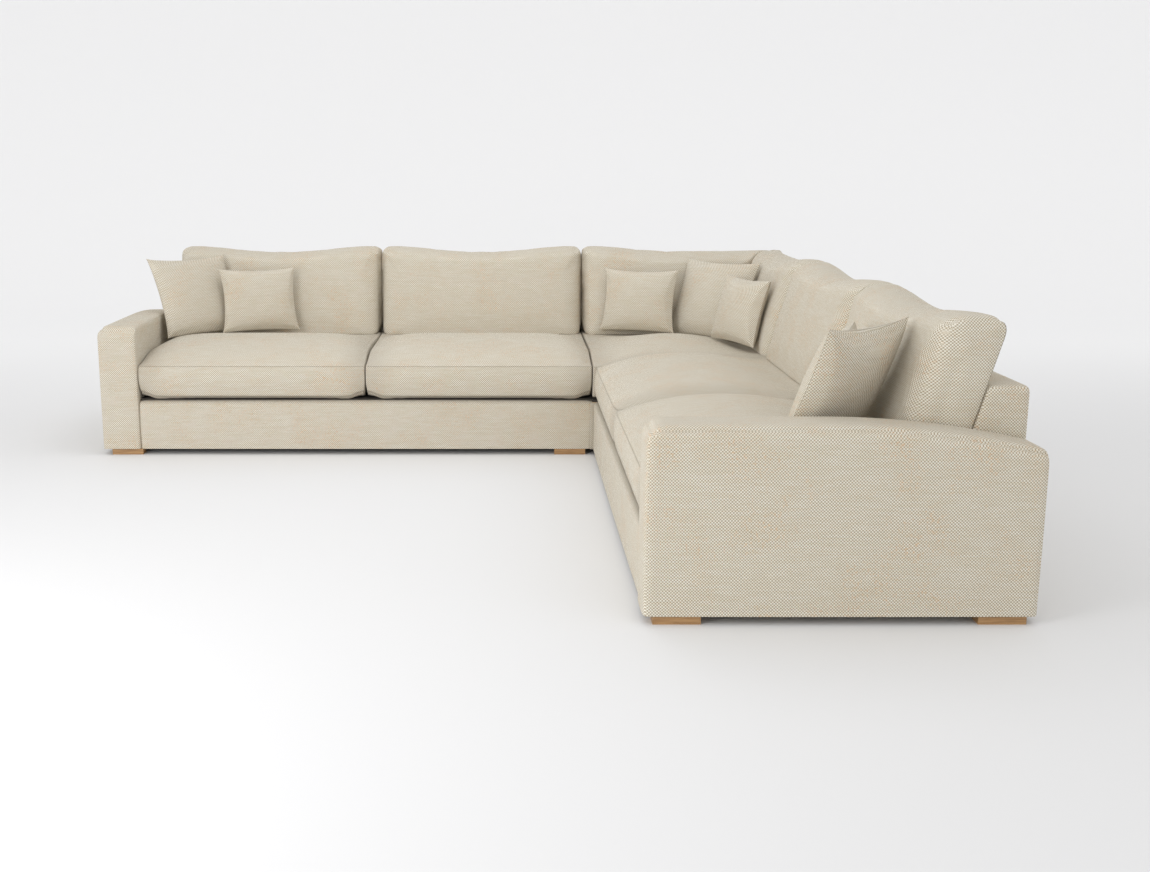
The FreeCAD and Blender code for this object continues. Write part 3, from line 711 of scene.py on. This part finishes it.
def padded_box(name, low, high, radius, counts, warp=None, flat=(), puff=0.003, painted_shade=None):
    """A cloth-covered block with round edges and slightly swelling sides.

    flat lists the sides that stay square, as an axis and a direction, such as (2, -1) for below.
    """
    low, high = Vector(low), Vector(high)
    core_low = low + Vector((radius,) * 3)
    core_high = high - Vector((radius,) * 3)
    for axis, way in flat:
        if way < 0:
            core_low[axis] = low[axis]
        else:
            core_high[axis] = high[axis]

    def shape(u, v, w):
        shares = enumerate((u, v, w))
        point = Vector([low[a] + (share + 1) / 2 * (high[a] - low[a]) for a, share in shares])
        core = Vector([min(max(point[a], core_low[a]), core_high[a]) for a in range(3)])
        out = point - core
        if out.length > TINY:
            point = core + out.normalized() * max(abs(value) for value in out)
            point += out.normalized() * puff * hump(u) * hump(v) * hump(w)
        return warp(point) if warp else point

    spans = [stops(count, 0.55) for count in counts]
    return lattice(name, spans, shape, no_seam, painted_shade)


def arm():
    """The arm: a round nose at the front and a top that falls in a long arc to the back."""
    low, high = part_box("left_arm_cover")
    nose, shoulder, edge = 0.055, 0.042, 0.020
    fall_length = high.y - low.y - ARM_LEVEL_LENGTH

    def warp(point):
        x, y, z = point
        past_level = max(0.0, y - low.y - ARM_LEVEL_LENGTH)
        fall = (high.z - ARM_REAR_HEIGHT) * (past_level / fall_length) ** 2
        ahead, up = low.y + nose - y, z - (high.z - nose)
        if ahead > 0 and up > 0:
            ahead, up = rounded(ahead, up)
            y, z = low.y + nose - ahead, high.z - nose + up
        out, up = low.x + shoulder - x, z - (high.z - shoulder)
        if out > 0 and up > 0:
            out, up = rounded(out, up)
            x, z = low.x + shoulder - out, high.z - shoulder + up
        return Vector((x, y, z - fall * (z - low.z) / (high.z - low.z)))

    return padded_box("left_arm", low, high, edge, (20, 60, 34), warp, flat=[(2, -1)])


def border():
    """The band under the seat cushions, round at the top and at its ends, with painted shade along its top.
    """
    low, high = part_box("left_front_border")
    edge, puff = 0.016, 0.002

    # Painted shade: darker along the top, under the seat cushions' edge
    def painted_shade(u, v, w):
        return PAINTED_SLOT_SHADE * smooth((w - 0.84) / 0.14)

    return padded_box("left_border", low, high, edge, (90, 6, 24), flat=[(2, -1), (1, 1)], puff=puff,
                      painted_shade=painted_shade)


def corner_post():
    """The cloth over the corner unit's front post, darkened all over by painted shade between the two
    borders.
    """
    under_border, ahead, beside, behind = 0.004, 0.0015, 0.008, 0.026
    edge = 0.003
    _, border_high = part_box("left_front_border")
    low = (INNER - beside, INNER - ahead, FLOOR_GAP)
    high = (INNER + behind, INNER + behind, border_high.z - under_border)

    # Painted shade: the whole post is darkened as shade in the gap between the two borders
    def painted_shade(u, v, w):
        return PAINTED_SLOT_SHADE

    return padded_box("corner_post", low, high, edge, (4, 4, 16), flat=[(2, -1)], puff=0.0, painted_shade=painted_shade)


def back_case(name, low_x, high_x, mitred=False):
    """The fixed back: leaning front, padded top edge, straight rear down to the floor gap."""
    _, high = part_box(name)
    top_front = high.y - BACK_TOP_THICKNESS
    edge, puff = 0.022, 0.002

    def warp(point):
        front = top_front - (high.z - point.z) * math.tan(LEAN)
        y = high.y - (high.y - point.y) / BACK_TOP_THICKNESS * (high.y - front)
        x = point.x
        if mitred:
            x = low_x + (y - low_x) * (x - low_x) / (high_x - low_x)
        return Vector((x, y, point.z))

    start = (low_x, top_front, FLOOR_GAP)
    stop = (high_x, high.y, high.z)
    return padded_box(name + "_cloth", start, stop, edge, (60, 10, 40), warp, flat=[(2, -1)], puff=puff)


# Studio
def add_floor():
    """A pale seamless floor that rises into the wall behind, with painted light: greyer near the camera,
    paler towards the wall.
    """
    wide, near, far, bend, tall = 14.0, -9.0, 5.5, 2.5, 7.0
    steps = 12
    section = [(near, 0.0)]
    for step in range(steps + 1):
        angle = math.pi / 2 * step / steps
        section.append((far + bend * math.sin(angle), bend * (1 - math.cos(angle))))
    section.append((far + bend, tall))
    points = [(side * wide, y, z) for y, z in section for side in (-1, 1)]
    faces = [(2 * n, 2 * n + 1, 2 * n + 3, 2 * n + 2) for n in range(len(section) - 1)]
    floor = mesh_object("studio_floor", points, faces)

    # Painted light: the floor's colour grows from grey near the camera to white towards the wall behind
    near_grey, far_white = (0.80, 0.80, 0.805, 1), (0.96, 0.96, 0.965, 1)
    pale_from, pale_to, cloudiness = 0.5, 4.5, 0.05
    g = Graph("pale_floor")
    source = g.node("ShaderNodeTexCoord").outputs["Object"]
    depth = g.span(g.split(source)[1], pale_from, pale_to)
    tone = g.math("ADD", depth, g.math("MULTIPLY", g.noise(source, 0.4, 1.0), cloudiness))
    g.put(g.blend(tone, near_grey, far_white), g.shader.inputs["Base Color"])
    g.shader.inputs["Roughness"].default_value = 0.75
    g.shader.inputs["Specular IOR Level"].default_value = 0.2
    dress(floor, g.material)


def add_light():
    """White light from all round, a wide lamp in front and a weak one above."""
    world = bpy.data.worlds.new("studio")
    world.use_nodes = True
    world.node_tree.nodes["Background"].inputs[0].default_value = (1.0, 1.0, 1.0, 1)
    world.node_tree.nodes["Background"].inputs[1].default_value = 0.90
    bpy.context.scene.world = world

    target = Vector((0.2, 0.2, 0.3))
    lamps = (
        ("key", (-2.4, -3.4, 1.4), 2.0, 56),
        ("overhead", (-0.1, 0.3, 2.5), 1.4, 8),
    )
    for name, place, size, power in lamps:
        data = bpy.data.lights.new(name, "AREA")
        data.shape = "DISK"
        data.size = size
        data.energy = power
        lamp = bpy.data.objects.new(name, data)
        lamp.location = place
        lamp.rotation_euler = (target - Vector(place)).to_track_quat("-Z", "Y").to_euler()
        bpy.context.scene.collection.objects.link(lamp)
    bpy.context.scene.view_settings.view_transform = "Standard"


# The sofa
def show(obj, body, nodes, material, fill):
    """Hang a cloth piece on its body in place of its CAD nodes."""
    dress(obj, material)
    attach(obj, body)
    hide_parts(*nodes)


def dress_covers(cloth):
    """Cloth over the arms, borders, backs and the corner post."""
    pieces = {
        "left_arm_cover": arm(),
        "left_front_border": border(),
        "left_back_cover": back_case("left_back_cover", WING_END, INNER),
        "corner_back_cover_left": back_case("corner_back_cover_left", INNER, REAR, mitred=True),
    }
    for node, obj in pieces.items():
        finer(obj)
        twin = node.replace("left", "right")
        other = mirror(obj, obj.name.replace("left", "right"))
        show(obj, "sofa_frame", [node], cloth, 1.0)
        show(other, "sofa_frame", [twin], cloth, 1.0)
    show(corner_post(), "sofa_frame", [], cloth, 1.0)


def dress_frame(cloth):
    """Materials for every CAD node that stays: by its slot, but the platforms in a dark cloth that is also
    painted shade for the gap under the seat cushions.
    """
    # Near-black platform cloth: partly a platform's own dark cloth, partly painted shade for the gap under
    # the seat cushions
    platform_and_shade = strap_material("platform_cloth", (0.085, 0.075, 0.062, 1), (0.035, 0.030, 0.026, 1), 0.0020)
    finishes = {
        "oak": wood_material("lacquered_oak", (0.47, 0.275, 0.120, 1), (0.35, 0.195, 0.080, 1)),
        "timber": wood_material("planed_softwood", (0.66, 0.50, 0.31, 1), (0.54, 0.38, 0.21, 1)),
        "webbing": strap_material("elastic_webbing", (0.16, 0.14, 0.12, 1), (0.05, 0.05, 0.05, 1), 0.0025),
        "dust_cloth": strap_material("dust_cloth", (0.03, 0.03, 0.03, 1), (0.015, 0.015, 0.015, 1), 0.0018),
        "steel": steel_material(),
        "upholstery": cloth,
    }
    slots = {entry["node"]: entry["material_slot"] for entry in frame["record"]["subparts"]}
    for node, obj in frame["nodes"].items():
        if "deck" in node:
            dress(obj, platform_and_shade)
        elif slots[node] in finishes:
            dress(obj, finishes[slots[node]])


def finished_cushions():
    """The left wing's and the corner's loose cushions: shaped, blown up together and fitted."""
    wing_ends = ("end", "inner")
    seats = {f"left_seat_cushion_{end}": seat_cushion(f"left_seat_cushion_{end}") for end in wing_ends}
    seats["corner_seat_cushion"] = corner_seat()
    backs = {f"left_back_cushion_{end}": back_cushion(f"left_back_cushion_{end}") for end in wing_ends}
    backs["corner_back_cushion_left"] = back_cushion("corner_back_cushion_left", mitred=True)
    pillows = {}
    for seed, (name, (kind, _, _, _)) in enumerate(SCATTERS.items()):
        pillows[name] = pillow(name, *kind[:3], seed)

    jobs = [(obj, *SEAT_FILL) for obj in seats.values()]
    jobs += [(obj, *BACK_FILL) for obj in backs.values()]
    jobs += [(obj, *PILLOW_FILL) for obj in pillows.values()]
    simulate(jobs)

    crown_play = Vector((0, 0, 0.004))
    for name, obj in seats.items():
        low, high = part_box(name)
        keep_inside(obj, low, high + crown_play)
        finer(obj)
    for obj in backs.values():
        finer(obj)
    for name, obj in pillows.items():
        (width, length, thickness, lean), x, y, turn = SCATTERS[name]
        shape_pillow(obj, width, length, thickness)
        finer(obj)
        stand(obj, name, x, y, turn, lean)
        settle(obj, seats["corner_seat_cushion" if "corner" in name else "left_seat_cushion_end"])
    return {**seats, **backs, **pillows}


def dress_cushions(cloth):
    """Every loose cushion in its cloth, with its mirror image on the other wing."""
    feather_fill, foam_fill = 0.7, 0.85
    for name, obj in finished_cushions().items():
        fill = feather_fill if "scatter" in name else foam_fill
        show(obj, name, [name], cloth, fill)
        if "left" in name:
            twin = name.replace("left", "right")
            other = mirror(obj, twin + "_cover")
            show(other, twin, [twin], cloth, fill)


add_camera()
add_floor()
add_light()
hopsack = cloth_material()
dress_covers(hopsack)
dress_frame(hopsack)
dress_cushions(hopsack)
